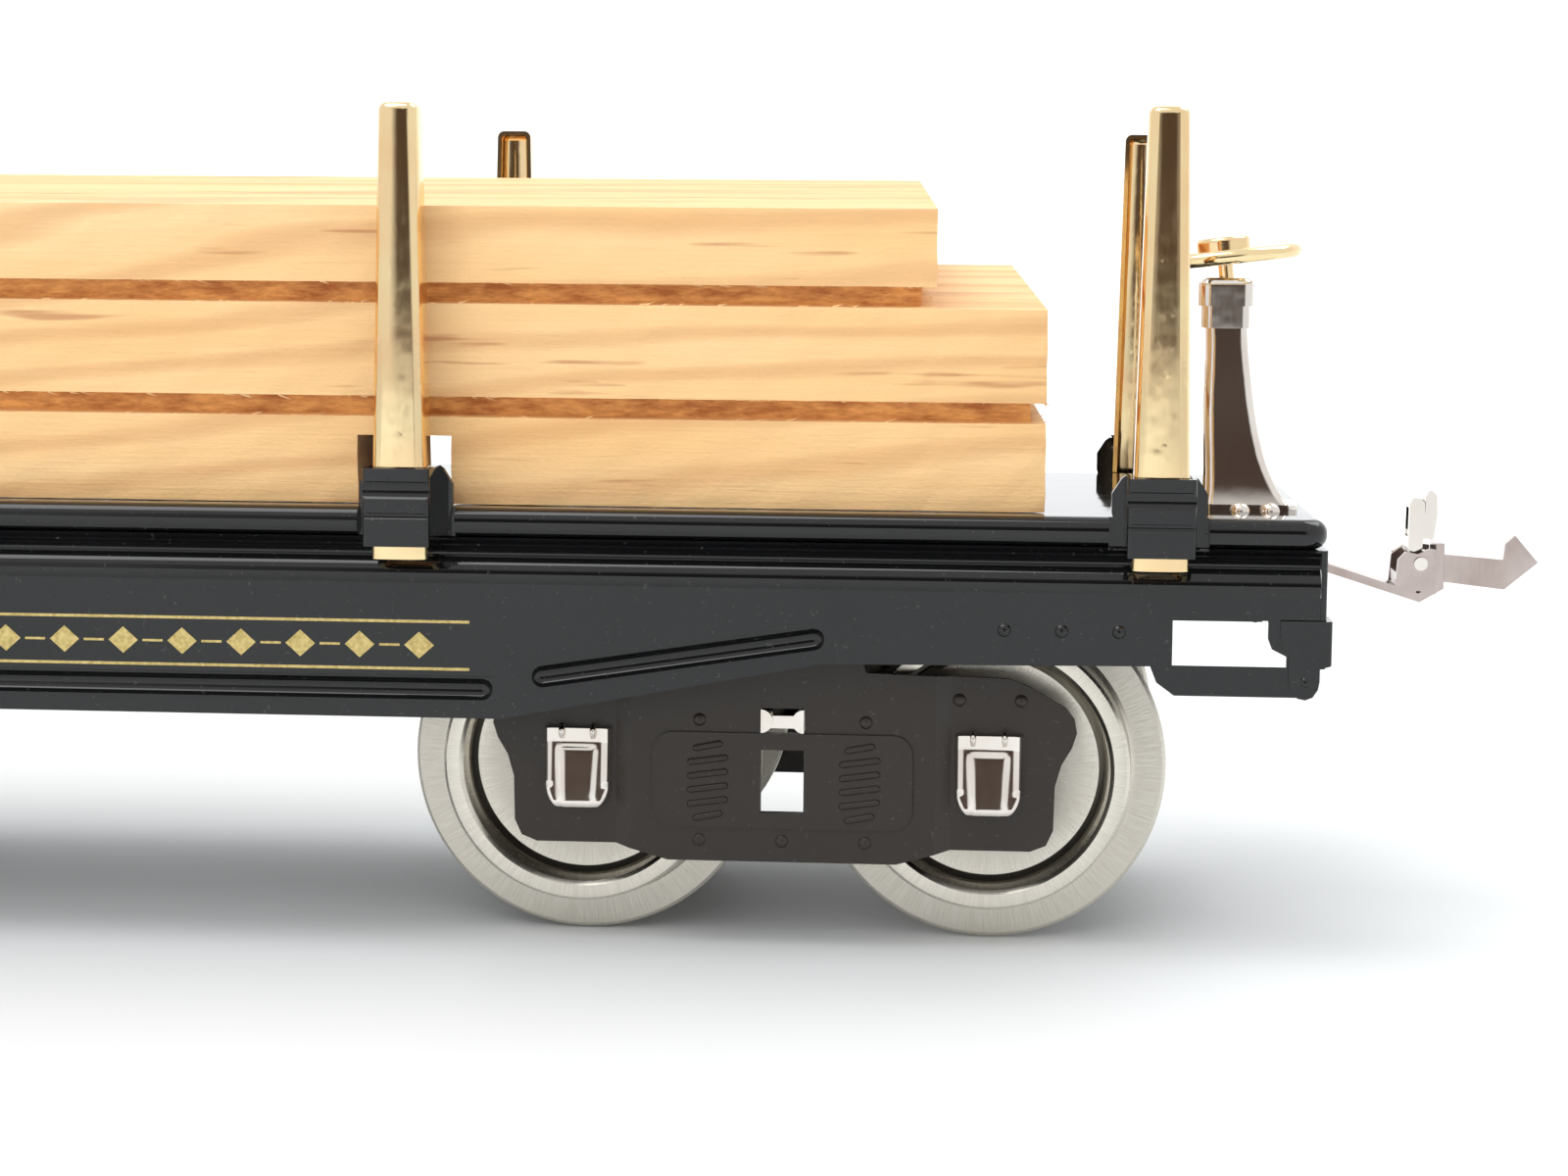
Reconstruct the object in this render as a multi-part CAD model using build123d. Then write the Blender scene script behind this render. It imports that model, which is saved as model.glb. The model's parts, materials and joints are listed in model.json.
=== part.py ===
from build123d import *
import math
import os

# Standard-gauge tinplate flat car with a sawn lumber load.
# Millimetres. Origin: middle of the car, level with the bottoms of the wheel flanges.
# +X points to the end with the hand-brake stand, +Z up, the car is symmetrical about Y = 0.

# ---- driving dimensions: body ----
BODY_LENGTH = 317.5
DECK_WIDTH = 84.0
DECK_TOP = 56.3
DECK_SHEET = 1.2
DECK_BEAD_HEIGHT = 3.7
SILL_FACE = 41.6
SILL_SHEET = 0.7
SILL_TOP = DECK_TOP - DECK_BEAD_HEIGHT
SILL_MIDDLE_BOTTOM = 29.7
SILL_MIDDLE_HALF = 55.9
SILL_END_BOTTOM = 37.9
SILL_RISE_END = 96.4
STEP_START = 137.2
STEP_BOTTOM = 34.3
CREASE_Z = 46.8
END_SHEET = 0.8
MEMBER_HALF = 33.8
BOLSTER_HALF = 5.6

# ---- driving dimensions: stakes and their pockets ----
POCKET_X = (44.0, 138.0)
POCKET_WIDTH = 8.4
POCKET_FACE = 48.4
POCKET_SHEET = 0.8
POCKET_INSIDE = 7.4
POCKET_TOP = 61.6
POCKET_BOTTOM = 51.9
POCKET_CREASE_Z = 58.9
POCKET_CREASES = ((POCKET_CREASE_Z, 2.2, 0.5), (55.7, 0.8, 0.2))
POCKET_WING_HALF = 5.9
NOTCH_FLOOR = 40.4
STAKE_FOOT = 50.2
STAKE_TOP = 106.4
STAKE_FACE = 47.0
STAKE_WIDTH = (7.2, 4.9)
STAKE_DEPTH = (4.9, 3.9)
STAKE_SHEET = 0.6
STAKE_BULGE = 0.45
STAKE_ROUND = 1.5
STAKE_CROWN = 1.0

# ---- driving dimensions: trucks ----
TRUCK_X = 91.2
WHEELBASE = 52.4
FLANGE_R = 22.8
TREAD_R = 18.2
DISH_R = 15.3
FLANGE_BACK = 24.6
FLANGE_FACE = 26.0
TREAD_FACE = 32.4
AXLE_R = 1.6
AXLE_END = 36.2
HUB_R = 3.6
FRAME_FACE = 34.9
FRAME_SHEET = 1.0
FRAME_SWELL = 0.9
SWELL_HALF = 19.4
SLOT_HALF = 2.9
TAB_HALF = 2.75
SLOT_LOW = 27.7
SLOT_HIGH = 30.9
KINGPIN_R = 2.0
CENTRE_CUP_TOP = 39.5
RUNNING_CLEARANCE = 0.05

# ---- driving dimensions: couplers and brake ----
COUPLER_PIVOT_X = 134.0
COUPLER_ARM_Z = 47.3
COUPLER_PIN_R = 1.5
ARM_HALF_WIDTH = 3.6
ARM_SHEET = 1.1
ARM_BEND = (161.5, 47.1)
ARM_END = (174.6, 43.0)
COUPLER_REACH = 190.3
LATCH_PIN_X = 174.6
LATCH_PIN_Z = 47.7
LATCH_PIN_R = 0.5
BRAKE_CAP_X = 146.8
BRAKE_FOOT_X = 150.0
BRAKE_Y = -21.0
BRAKE_WHEEL_R = 9.9
BRAKE_TILT = 6.5

# ---- driving dimensions: lumber load ----
LOAD_HALF_LENGTH = 124.0
LOAD_TOP_HALF_LENGTH = 110.2
LOAD_WIDTH = 78.0
LOAD_NEAR_FACE = -36.6
TIER_TOPS = (11.1, 25.5, 37.7)
KERF_HEIGHT = 2.6
KERF_DEPTH = 2.6
GROOVE_WIDTH = 12.0
GROOVE_HEIGHT = 8.7
LOAD_LEAN = 3.95
LOAD_SKEW = 3.6


def save(name, *solids):
    """Write one node; a node of several pieces is a group of separate solids."""
    shape = solids[0] if len(solids) == 1 else Compound(children=list(solids))
    export_step(shape, f"parts/{name}.step")


def solid_of(shape):
    """Return the single solid that an algebra result holds."""
    found = shape.solids()
    return max(found, key=lambda s: s.volume)


def block(x0, x1, y0, y1, z0, z1):
    """A box between two corners."""
    return Pos((x0 + x1) / 2, (y0 + y1) / 2, (z0 + z1) / 2) * Box(x1 - x0, y1 - y0, z1 - z0)


def plate_xz(points, y0, y1):
    """An outline in X and Z, made a plate between two Y values."""
    face = make_face(Polyline(*[(x, 0, z) for x, z in points], close=True))
    return Pos(0, y0, 0) * extrude(face, amount=y1 - y0, dir=(0, 1, 0))


def plate_xy(points, z0, z1):
    """An outline in X and Y, made a prism between two heights."""
    face = make_face(Polyline(*[(x, y, 0) for x, y in points], close=True))
    return Pos(0, 0, z0) * extrude(face, amount=z1 - z0, dir=(0, 0, 1))


def rod(start, end, radius):
    """A round bar from one point to another."""
    a, b = Vector(*start), Vector(*end)
    return extrude(Plane(a, z_dir=b - a) * Circle(radius), amount=(b - a).length)


def capsule(start, end, radius):
    """A round bar with ball ends."""
    balls = Pos(*start) * Sphere(radius) + Pos(*end) * Sphere(radius)
    return rod(start, end, radius) + balls


def across(shape):
    """The same piece on the other side of the car."""
    return mirror(shape, about=Plane.XZ)


def turned(shape):
    """The same piece at the other end, turned half a turn about Z."""
    return Rot(0, 0, 180) * shape


# ---------------------------------------------------------------- body
def deck_plate():
    """Floor pressing: flat top, half-round bead all round, relieved at each stake pocket."""
    half_x, half_y = BODY_LENGTH / 2, DECK_WIDTH / 2
    slab = block(-half_x, half_x, -half_y, half_y, SILL_TOP, DECK_TOP)
    slab = fillet(slab.edges().filter_by(Axis.Z), 3.0)
    bead_r = DECK_BEAD_HEIGHT / 2 - 0.15
    slab = fillet(slab.faces().sort_by(Axis.Z)[-1].edges(), bead_r)
    slab = fillet(slab.faces().sort_by(Axis.Z)[0].edges(), bead_r)
    rim = 2.6
    notch_half = POCKET_WING_HALF + 0.3
    slab -= block(-half_x + rim, half_x - rim, -half_y + rim, half_y - rim, 0, DECK_TOP - DECK_SHEET)
    for x in (-POCKET_X[1], -POCKET_X[0], *POCKET_X):
        for side in (-1, 1):
            near, far = sorted((side * NOTCH_FLOOR, side * 50))
            slab -= block(x - notch_half, x + notch_half, near, far, 50, 60)
    return solid_of(slab)


def sill_bottom_outline():
    """Lower edge of the fish-belly side sill and its step, over the full length."""
    half = [(SILL_MIDDLE_HALF, SILL_MIDDLE_BOTTOM), (SILL_RISE_END, SILL_END_BOTTOM - 0.5),
            (STEP_START, SILL_END_BOTTOM), (STEP_START + 0.8, STEP_BOTTOM + 1.6),
            (STEP_START + 3.0, STEP_BOTTOM), (157.2, STEP_BOTTOM)]
    right = half + [(157.2, 38.0), (157.9, 38.0), (157.9, CREASE_Z)]
    left = [(-x, z) for x, z in reversed(right)]
    return left + right


def step_opening(side_x):
    """The hand-hold opening above the step, with the lobe at its outer end."""
    points = [(139.9, 38.0), (139.9, 43.8), (151.6, 43.8), (151.6, 41.6), (152.1, 40.3),
              (153.9, 39.4), (153.9, 38.0)]
    return plate_xz([(side_x * x, z) for x, z in points], -45, -38)


def side_sill():
    """Side sill pressing at the -Y side: mouldings, web, embossed ribs and step."""
    outer = SILL_FACE
    top = SILL_TOP
    with BuildSketch(Plane.YZ) as moulding:
        with BuildLine():
            Polyline((-34.0, top), (-outer + 0.3, top), (-outer - 0.05, top - 0.3),
                     (-outer + 0.25, top - 0.6), (-outer - 0.05, top - 0.9), (-outer + 0.3, top - 1.2),
                     (-outer + 1.1, top - 1.9))
            ThreePointArc((-outer + 1.1, top - 1.9), (-outer + 1.15, top - 2.4), (-outer + 0.6, top - 2.8))
            ThreePointArc((-outer + 0.6, top - 2.8), (-outer - 0.35, top - 4.2), (-outer, CREASE_Z))
            Polyline((-outer, CREASE_Z), (-outer + SILL_SHEET, CREASE_Z),
                     (-outer + SILL_SHEET, top - 2.9), (-outer + 2.0, top - 2.3),
                     (-outer + 2.0, top - 0.8), (-34.0, top - 0.8), (-34.0, top))
        make_face()
    sill = Pos(-157.9, 0, 0) * extrude(moulding.sketch, amount=2 * 157.9, dir=(1, 0, 0))
    web = plate_xz(sill_bottom_outline(), -outer, -outer + SILL_SHEET)
    sill += web
    for end in (-1, 1):
        sill -= step_opening(end)
        sill = emboss(sill, (end * 61.3, 35.2), (end * 95.4, 40.5))
    sill = emboss(sill, (-53.6, 33.4), (53.6, 33.4))
    panel = block(-55.3, 55.3, -outer - 1, -outer + 0.12, 35.0, CREASE_Z - 1.2)
    return solid_of(sill - panel)


def emboss(sheet, start, end):
    """Press a long round-ended groove into the sill's face, with its ridge inside."""
    radius = 1.35
    lift = 0.85
    outer = [(p[0], -SILL_FACE - lift, p[1]) for p in (start, end)]
    inner = [(p[0], -SILL_FACE + SILL_SHEET - lift + 0.05, p[1]) for p in (start, end)]
    return sheet + capsule(*inner, radius) - capsule(*outer, radius)


def sill_rivets():
    """Three rivets beside each end of both sills."""
    heads = []
    z = 42.1
    for end in (-1, 1):
        for side in (-1, 1):
            face = side * SILL_FACE
            for x in (end * 119.1, end * 126.2, end * 133.3):
                head = Pos(x, face, z) * Rot(-90 * side, 0, 0) * rivet_head(0.85, 0.5)
                shank = rod((x, face, z), (x, face - side * 1.4, z), 0.4)
                heads.append(solid_of(head + shank))
    return heads


def rivet_head(radius, height):
    """A domed head that stands on Z = 0."""
    ball = (radius * radius + height * height) / (2 * height)
    dome = Pos(0, 0, height - ball) * Sphere(ball)
    return dome & block(-radius * 2, radius * 2, -radius * 2, radius * 2, 0, height + 1)


def end_plate():
    """End plate at +X, with the coupler slot and four pressed dimples."""
    x0 = BODY_LENGTH / 2 - END_SHEET
    plate = block(x0, x0 + END_SHEET, -SILL_FACE, SILL_FACE, 37.9, SILL_TOP)
    plate = fillet(plate.edges().filter_by(Axis.Z).group_by(Axis.X)[-1], 0.6)
    plate -= block(x0 - 1, x0 + 2, -10.5, 10.5, 45.4, 49.3)
    for y in (-33.0, -20.0, 20.0, 33.0):
        plate += Pos(x0 + END_SHEET, y, 44.6) * Rot(0, 90, 0) * rivet_head(1.2, 0.8)
    return solid_of(plate)


def corner_strap():
    """Bent strap round the corner at +X, -Y that ties sill, end plate and step."""
    y_out = SILL_FACE + 0.7
    x_out = BODY_LENGTH / 2 + 0.7
    side = [(153.1, 43.9), (153.1, 41.6), (153.5, 40.4), (154.2, 39.5), (154.2, 36.4), (154.5, 35.2),
            (155.3, 34.3), (156.3, 34.1), (157.2, 34.5), (157.8, 35.4), (158.0, 36.4), (158.0, 38.0),
            (x_out, 38.4), (x_out, 43.9)]
    face = plate_xz(side, -y_out, -SILL_FACE)
    wrap = block(BODY_LENGTH / 2, x_out, -y_out, -SILL_FACE + 5.0, 38.4, 43.9)
    strap = face + wrap
    corner = strap.edges().filter_by(Axis.Z).sort_by(lambda e: e.center().X - e.center().Y)[-1]
    strap = fillet(corner, 0.6)
    strap += Pos(156.2, -y_out, 36.3) * Rot(90, 0, 0) * rivet_head(0.6, 0.3)
    return solid_of(strap)


def body_bolster():
    """Hat-section cross member under the floor that a truck turns against."""
    half = BOLSTER_HALF
    low = CENTRE_CUP_TOP + 0.1
    high = DECK_TOP - DECK_SHEET
    reach = MEMBER_HALF
    web = block(TRUCK_X - half, TRUCK_X + half, -reach, reach, low, low + 1.2)
    legs = block(TRUCK_X - half, TRUCK_X - half + 1.2, -reach, reach, low, high)
    legs += block(TRUCK_X + half - 1.2, TRUCK_X + half, -reach, reach, low, high)
    hole = rod((TRUCK_X, 0, low - 1), (TRUCK_X, 0, low + 3), KINGPIN_R)
    return solid_of(web + legs - hole)


def kingpin():
    """Headed pin that holds a truck to its bolster: riveted above, head below the cup."""
    low = CENTRE_CUP_TOP - 1.2
    shank = rod((TRUCK_X, 0, low - 0.1), (TRUCK_X, 0, 43.0), KINGPIN_R)
    head = rod((TRUCK_X, 0, low - 1.6), (TRUCK_X, 0, low - 0.1), 3.6)
    upset = rod((TRUCK_X, 0, CENTRE_CUP_TOP + 1.3), (TRUCK_X, 0, 43.0), 3.2)
    return solid_of(shank + head + upset)


# ---------------------------------------------------------------- stakes
def stake_pocket(x):
    """Creased loop on the -Y deck edge: face, two cheeks and two flared wings."""
    half = POCKET_WIDTH / 2
    face, sheet = -POCKET_FACE, POCKET_SHEET
    back = -NOTCH_FLOOR
    outline = [(x - half, back), (x - half, face), (x + half, face), (x + half, back)]
    outer = make_face(Polyline(*outline, close=True))
    outer = fillet(outer.vertices().group_by(Axis.Y)[0], 0.6)
    height = POCKET_TOP - POCKET_BOTTOM
    pocket = Pos(0, 0, POCKET_BOTTOM) * extrude(outer, amount=height, dir=(0, 0, 1))
    pocket -= block(x - POCKET_INSIDE / 2, x + POCKET_INSIDE / 2, face + sheet, 0, 40, 70)
    outside = (face - 0.01, half + 1)
    inside = (face + sheet - 0.01, POCKET_INSIDE / 2)
    for z, tall, depth in POCKET_CREASES:
        pocket -= crease(x, *outside, z, tall, depth)
        pocket += crease(x, *inside, z, tall, depth)
    pocket += pocket_wing(x, -1) + pocket_wing(x, 1)
    sill_room = block(x - 10, x + 10, -SILL_FACE - 0.4, -30, 45, SILL_TOP + 0.1)
    return solid_of(pocket - sill_room)


def crease(x, y, reach, z, tall, depth):
    """Round-bottomed ridge across a pocket, from its face at Y inwards."""
    arc = ThreePointArc((y, z - tall / 2), (y + depth, z), (y, z + tall / 2))
    chord = Line((y, z + tall / 2), (y, z - tall / 2))
    ridge = make_face(Plane.YZ * (arc + chord))
    return Pos(x - reach, 0, 0) * extrude(ridge, amount=2 * reach, dir=(1, 0, 0))


def pocket_wing(x, side):
    """Flared six-sided ear of a pocket, against the deck's edge."""
    root = POCKET_WIDTH / 2
    wing = POCKET_WING_HALF
    ear = [(root - 0.1, POCKET_TOP), (root + 0.5, POCKET_TOP - 0.4), (wing, POCKET_CREASE_Z + 0.4),
           (wing, POCKET_CREASE_Z - 2.0), (root + 0.6, SILL_TOP + 0.3), (root - 0.1, SILL_TOP + 0.1)]
    return plate_xz([(x + side * a, z) for a, z in ear], -NOTCH_FLOOR - 1.0, -NOTCH_FLOOR)


def stake(x):
    """Tapered channel stake at the -Y side, open towards the load, closed round top."""
    outer = stake_taper(x, 0, STAKE_FOOT, STAKE_TOP)
    inner = stake_taper(x, STAKE_SHEET, STAKE_FOOT - 1, STAKE_TOP - STAKE_SHEET)
    hollow = outer - inner
    return solid_of(hollow)


def stake_taper(x, inset, low, high):
    """Tapered bar with rounded outer corners; the inset one cuts out the channel."""
    sections = []
    ends = ((low, STAKE_WIDTH[0], STAKE_DEPTH[0]), (high, STAKE_WIDTH[1], STAKE_DEPTH[1]))
    for z, width, depth in ends:
        back = -STAKE_FACE + depth + (1.0 if inset else 0.0)
        front = -STAKE_FACE + inset
        shoulder = front + STAKE_BULGE
        half = width / 2 - inset
        sides = Polyline((x + half, shoulder), (x + half, back), (x - half, back), (x - half, shoulder))
        bulge = ThreePointArc((x - half, shoulder), (x, front), (x + half, shoulder))
        face = make_face(sides + bulge)
        corners = [v for v in face.vertices() if abs(v.Y - shoulder) < 0.01]
        sections.append(Pos(0, 0, z) * fillet(corners, STAKE_ROUND - inset))
    bar = loft(sections)
    top = bar.faces().sort_by(Axis.Z)[-1]
    rounded = [e for e in top.edges() if e.center().Y < -STAKE_FACE + STAKE_DEPTH[1] - 0.2]
    return fillet(rounded, STAKE_CROWN - inset / 2)


# ---------------------------------------------------------------- trucks
def frame_outline():
    """Outline of a truck side frame about its centre, in X and Z."""
    half = [(14.6, 11.1), (21.4, 13.0), (31.6, 13.0), (33.6, 13.8), (34.5, 15.8), (34.6, 21.4),
            (35.4, 24.2), (36.7, 26.4), (37.3, 28.3), (37.0, 30.0), (35.8, 31.5), (31.0, 34.2),
            (28.6, 35.1), (10.6, 35.6), (10.0, 37.4)]
    left = [(-x, z) for x, z in reversed(half)]
    return half + left


def side_frame():
    """Stamped side frame at the -Y side, about its truck's centre."""
    bent = [(-40, -FRAME_FACE), (-SWELL_HALF - 2, -FRAME_FACE), (-SWELL_HALF, -FRAME_FACE - FRAME_SWELL),
            (SWELL_HALF, -FRAME_FACE - FRAME_SWELL), (SWELL_HALF + 2, -FRAME_FACE), (40, -FRAME_FACE)]
    back = [(x, y + FRAME_SHEET) for x, y in reversed(bent)]
    sheet = plate_xy(bent + back, 8, 40)
    frame = sheet & plate_xz(frame_outline(), -45, -30)
    front = -FRAME_FACE - FRAME_SWELL
    pad = Pos(0, front, 21.6) * Rot(90, 0, 0) * extrude(RectangleRounded(33.2, 12.2, 2.6), amount=0.4)
    frame += pad
    frame -= block(-2.75, 2.75, -50, -30, 17.5, 25.6)
    frame -= block(-SLOT_HALF, SLOT_HALF, -50, -30, SLOT_LOW, SLOT_HIGH)
    for x in (-9.5, 9.9):
        for row in range(6):
            length = 1.5 if row in (0, 5) else 2.2
            z = 26.0 - 1.8 * row
            frame += capsule((x - length, front - 0.3, z - 0.3), (x + length, front - 0.3, z + 0.3), 0.45)
    for x, z in ((-10.6, 29.3), (10.6, 29.3), (-10.6, 13.8), (0, 13.8), (10.6, 13.8)):
        frame += Pos(x, front, z) * Rot(90, 0, 0) * rivet_head(0.85, 0.45)
    for x in (-30.2, -22.4, 22.4, 30.2):
        frame += Pos(x, -FRAME_FACE, 32.3) * Rot(90, 0, 0) * rivet_head(0.85, 0.45)
    for x in (-WHEELBASE / 2, WHEELBASE / 2):
        frame -= rod((x, -30, FLANGE_R), (x, -50, FLANGE_R), AXLE_R + RUNNING_CLEARANCE)
    return solid_of(frame)


def journal_box(x):
    """Bright journal box: a cover with a raised U rim and two small hooks."""
    base = -FRAME_FACE
    cover_outline = [(-4.3, 27.9), (-4.3, 20.6), (-4.1, 19.2), (-3.2, 18.0), (-1.9, 17.4), (1.9, 17.4),
                     (3.2, 18.0), (4.1, 19.2), (4.3, 20.6), (4.3, 27.9)]
    cover = plate_xz([(x + a, z) for a, z in cover_outline], base - 2.6, base)
    cover = fillet(cover.faces().sort_by(Axis.Y)[0].edges(), 0.5)
    recess = [(-2.9, 25.9), (-2.5, 20.4), (-1.6, 19.3), (1.6, 19.3), (2.5, 20.4), (2.9, 25.9)]
    cover -= plate_xz([(x + a, z) for a, z in recess], base - 3, base - 1.9)
    for dx in (-2.0, 2.0):
        cover += capsule((x + dx, base - 2.5, 27.1), (x + dx, base - 2.5, 28.5), 0.42)
    cover -= rod((x, base + 1, FLANGE_R), (x, base - 1.6, FLANGE_R), AXLE_R + RUNNING_CLEARANCE)
    return solid_of(cover)


def truck_bolster():
    """Bar through both side frames, with a formed centre cup and split tab ends."""
    reach = FRAME_FACE + FRAME_SWELL - FRAME_SHEET
    bar = block(-TAB_HALF, TAB_HALF, -reach, reach, 28.2, 29.8)
    for side in (-1, 1):
        for x in (-TAB_HALF, TAB_HALF):
            tab = rod((x, side * (reach - 1), 29.3), (x, side * (reach + FRAME_SHEET + 0.6), 29.3), 1.5)
            bar += tab & block(-TAB_HALF, TAB_HALF, -50, 50, 27, 31)
    cup = extrude(Pos(0, 0, 28.2) * Circle(9.0), amount=CENTRE_CUP_TOP - 28.2, taper=8)
    bore = extrude(Pos(0, 0, 29.8) * Circle(7.8), amount=CENTRE_CUP_TOP - 1.2 - 29.8, taper=8)
    bar = bar + cup - bore
    bar -= rod((0, 0, 35), (0, 0, 45), KINGPIN_R + RUNNING_CLEARANCE)
    bar -= rod((0, 0, 25), (0, 0, 31), 4.2)
    return solid_of(Pos(TRUCK_X, 0, 0) * bar)


def wheel_profile():
    """Half section of a wheel: radius and distance from the car's centre line."""
    bore = [(HUB_R, FLANGE_BACK - 1.4), (HUB_R, FLANGE_BACK + 1.6), (14.4, FLANGE_BACK + 1.6),
            (16.4, FLANGE_BACK)]
    flange = [(FLANGE_R - 0.5, FLANGE_BACK), (FLANGE_R - 0.1, FLANGE_BACK + 0.3),
              (FLANGE_R, FLANGE_BACK + 0.7), (FLANGE_R - 0.1, FLANGE_FACE - 0.3),
              (FLANGE_R - 0.5, FLANGE_FACE)]
    tread = [(TREAD_R + 0.6, FLANGE_FACE + 0.1), (TREAD_R + 0.1, FLANGE_FACE + 0.6),
             (TREAD_R - 0.2, TREAD_FACE - 0.4), (TREAD_R - 0.6, TREAD_FACE)]
    dish = [(DISH_R + 0.7, TREAD_FACE), (DISH_R + 0.2, TREAD_FACE - 0.4),
            (DISH_R - 0.4, FLANGE_FACE + 3.1), (DISH_R - 1.2, FLANGE_FACE + 2.5)]
    hub = [(HUB_R + 1.4, FLANGE_FACE + 2.5), (HUB_R + 0.9, TREAD_FACE - 0.2),
           (AXLE_R, TREAD_FACE - 0.2), (AXLE_R, FLANGE_BACK - 1.4)]
    return bore + flange + tread + dish + hub


def wheel(x):
    """Deep-flanged pressed wheel at the -Y side, on an axle at the given X."""
    outline = Polyline(*[(radius, -y, 0) for radius, y in wheel_profile()], close=True)
    ring = revolve(make_face(outline), axis=Axis.Y)
    return solid_of(Pos(x, 0, FLANGE_R) * ring)


def axle(x):
    """Plain axle whose ends turn in the side frames and journal boxes."""
    return solid_of(rod((x, -AXLE_END, FLANGE_R), (x, AXLE_END, FLANGE_R), AXLE_R))


# ---------------------------------------------------------------- couplers
def bent_strip(points, thickness, half_width):
    """A flat strip bent in X and Z with mitred corners, extruded across the car."""
    upper, lower = [], []
    for i, (x, z) in enumerate(points):
        before = points[max(i - 1, 0)]
        after = points[min(i + 1, len(points) - 1)]
        turns = []
        for p, q in ((before, (x, z)), ((x, z), after)):
            if p != q:
                turns.append(math.atan2(q[1] - p[1], q[0] - p[0]))
        along = sum(turns) / len(turns)
        mitre = thickness / 2 / math.cos(turns[-1] - along)
        upper.append((x - mitre * math.sin(along), z + mitre * math.cos(along)))
        lower.append((x + mitre * math.sin(along), z - mitre * math.cos(along)))
    return plate_xz(upper + lower[::-1], -half_width, half_width)


def coupler_arm():
    """Coupler drawbar: eye over the pivot, sloping strip and upturned front plate."""
    path = [(COUPLER_PIVOT_X, COUPLER_ARM_Z), ARM_BEND, ARM_END, (177.3, 44.6), (177.3, 50.4)]
    strip = bent_strip(path, ARM_SHEET, ARM_HALF_WIDTH)
    low, high = COUPLER_ARM_Z - ARM_SHEET / 2, COUPLER_ARM_Z + ARM_SHEET / 2
    eye = rod((COUPLER_PIVOT_X, 0, low), (COUPLER_PIVOT_X, 0, high), 5.2)
    hole = rod((COUPLER_PIVOT_X, 0, 40), (COUPLER_PIVOT_X, 0, 55), COUPLER_PIN_R + RUNNING_CLEARANCE)
    return solid_of(strip + eye - hole)


def above_arm(x, gap):
    """Height of a point over the sloping stretch of the drawbar."""
    slope = (ARM_END[1] - ARM_BEND[1]) / (ARM_END[0] - ARM_BEND[0])
    return ARM_BEND[1] + slope * (x - ARM_BEND[0]) + gap


def coupler_head():
    """Head pressing over the drawbar: floor, tie and two cheeks that carry the latch pin."""
    outline = [(171.3, 44.6), (176.7, 43.6), (176.7, 49.6), (175.7, 49.7), (174.2, 49.0),
               (172.6, 49.3), (171.6, 48.2)]
    head = plate_xz(outline, -4.5, -3.7) + plate_xz(outline, 3.7, 4.5)
    head += bent_strip([(171.6, above_arm(171.6, 1.0)), (174.2, above_arm(174.2, 1.0))], 0.7, 4.3)
    head += block(171.5, 172.3, -4.3, 4.3, 45.0, 46.4)
    return solid_of(head - rod((LATCH_PIN_X, -6, LATCH_PIN_Z), (LATCH_PIN_X, 6, LATCH_PIN_Z), LATCH_PIN_R))


def coupler_hook():
    """Arrow-headed hook plate that stands ahead of the front plate, at the -Y side."""
    outline = [(177.9, 48.9), (185.7, 48.3), (185.9, 50.4), (187.2, 51.6), (COUPLER_REACH, 48.0),
               (185.9, 44.3), (177.9, 45.2)]
    hook = plate_xz(outline, -3.4, -2.2)
    return solid_of(hook)


def coupler_latch():
    """Lifting latch: two upright loops on a saddle that turns on the latch pin."""
    z0 = LATCH_PIN_Z
    latch = block(LATCH_PIN_X - 0.9, LATCH_PIN_X + 0.9, -2.6, 2.6, z0 - 0.9, z0 + 1.6)
    for x0, x1, low, high in ((173.1, 174.9, z0 + 1.2, 56.4), (175.2, 176.5, z0 + 3.3, 57.4)):
        bar = [(x0, low), (x1, low), (x1 + 0.4, (low + high) / 2), (x1 + 0.3, high - 0.6), (x1 - 0.3, high),
               (x0 + 0.5, high), (x0 + 0.1, high - 0.8)]
        loop = plate_xz(bar, -2.6, 2.6)
        latch += loop - block(x0 - 1, x1 + 1, -1.4, 1.4, low + 2.2, high - 1.4)
    latch += block(173.3, 176.4, -2.6, 2.6, z0 + 3.2, z0 + 4.2)
    latch -= rod((LATCH_PIN_X, -6, z0), (LATCH_PIN_X, 6, z0), LATCH_PIN_R + RUNNING_CLEARANCE)
    return solid_of(latch)


def latch_pin():
    """Pin across the coupler head, with a small head at each end."""
    pin = rod((LATCH_PIN_X, -4.9, LATCH_PIN_Z), (LATCH_PIN_X, 4.9, LATCH_PIN_Z), LATCH_PIN_R)
    for side in (-1, 1):
        pin += rod((LATCH_PIN_X, side * 4.9, LATCH_PIN_Z), (LATCH_PIN_X, side * 4.5, LATCH_PIN_Z), 0.9)
    return solid_of(pin)


def latch_spring():
    """Torsion spring on the latch pin with one leg curling over the head's back edge."""
    coil = rod((LATCH_PIN_X, -3.6, LATCH_PIN_Z), (LATCH_PIN_X, -2.7, LATCH_PIN_Z), 1.0)
    coil -= rod((LATCH_PIN_X, -4, LATCH_PIN_Z), (LATCH_PIN_X, -2, LATCH_PIN_Z), LATCH_PIN_R)
    leg = capsule((LATCH_PIN_X - 0.6, -3.15, LATCH_PIN_Z + 0.5), (172.2, -3.15, 50.0), 0.22)
    leg += capsule((172.2, -3.15, 50.0), (171.0, -3.15, 49.2), 0.22)
    return solid_of(coil + leg)


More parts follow.
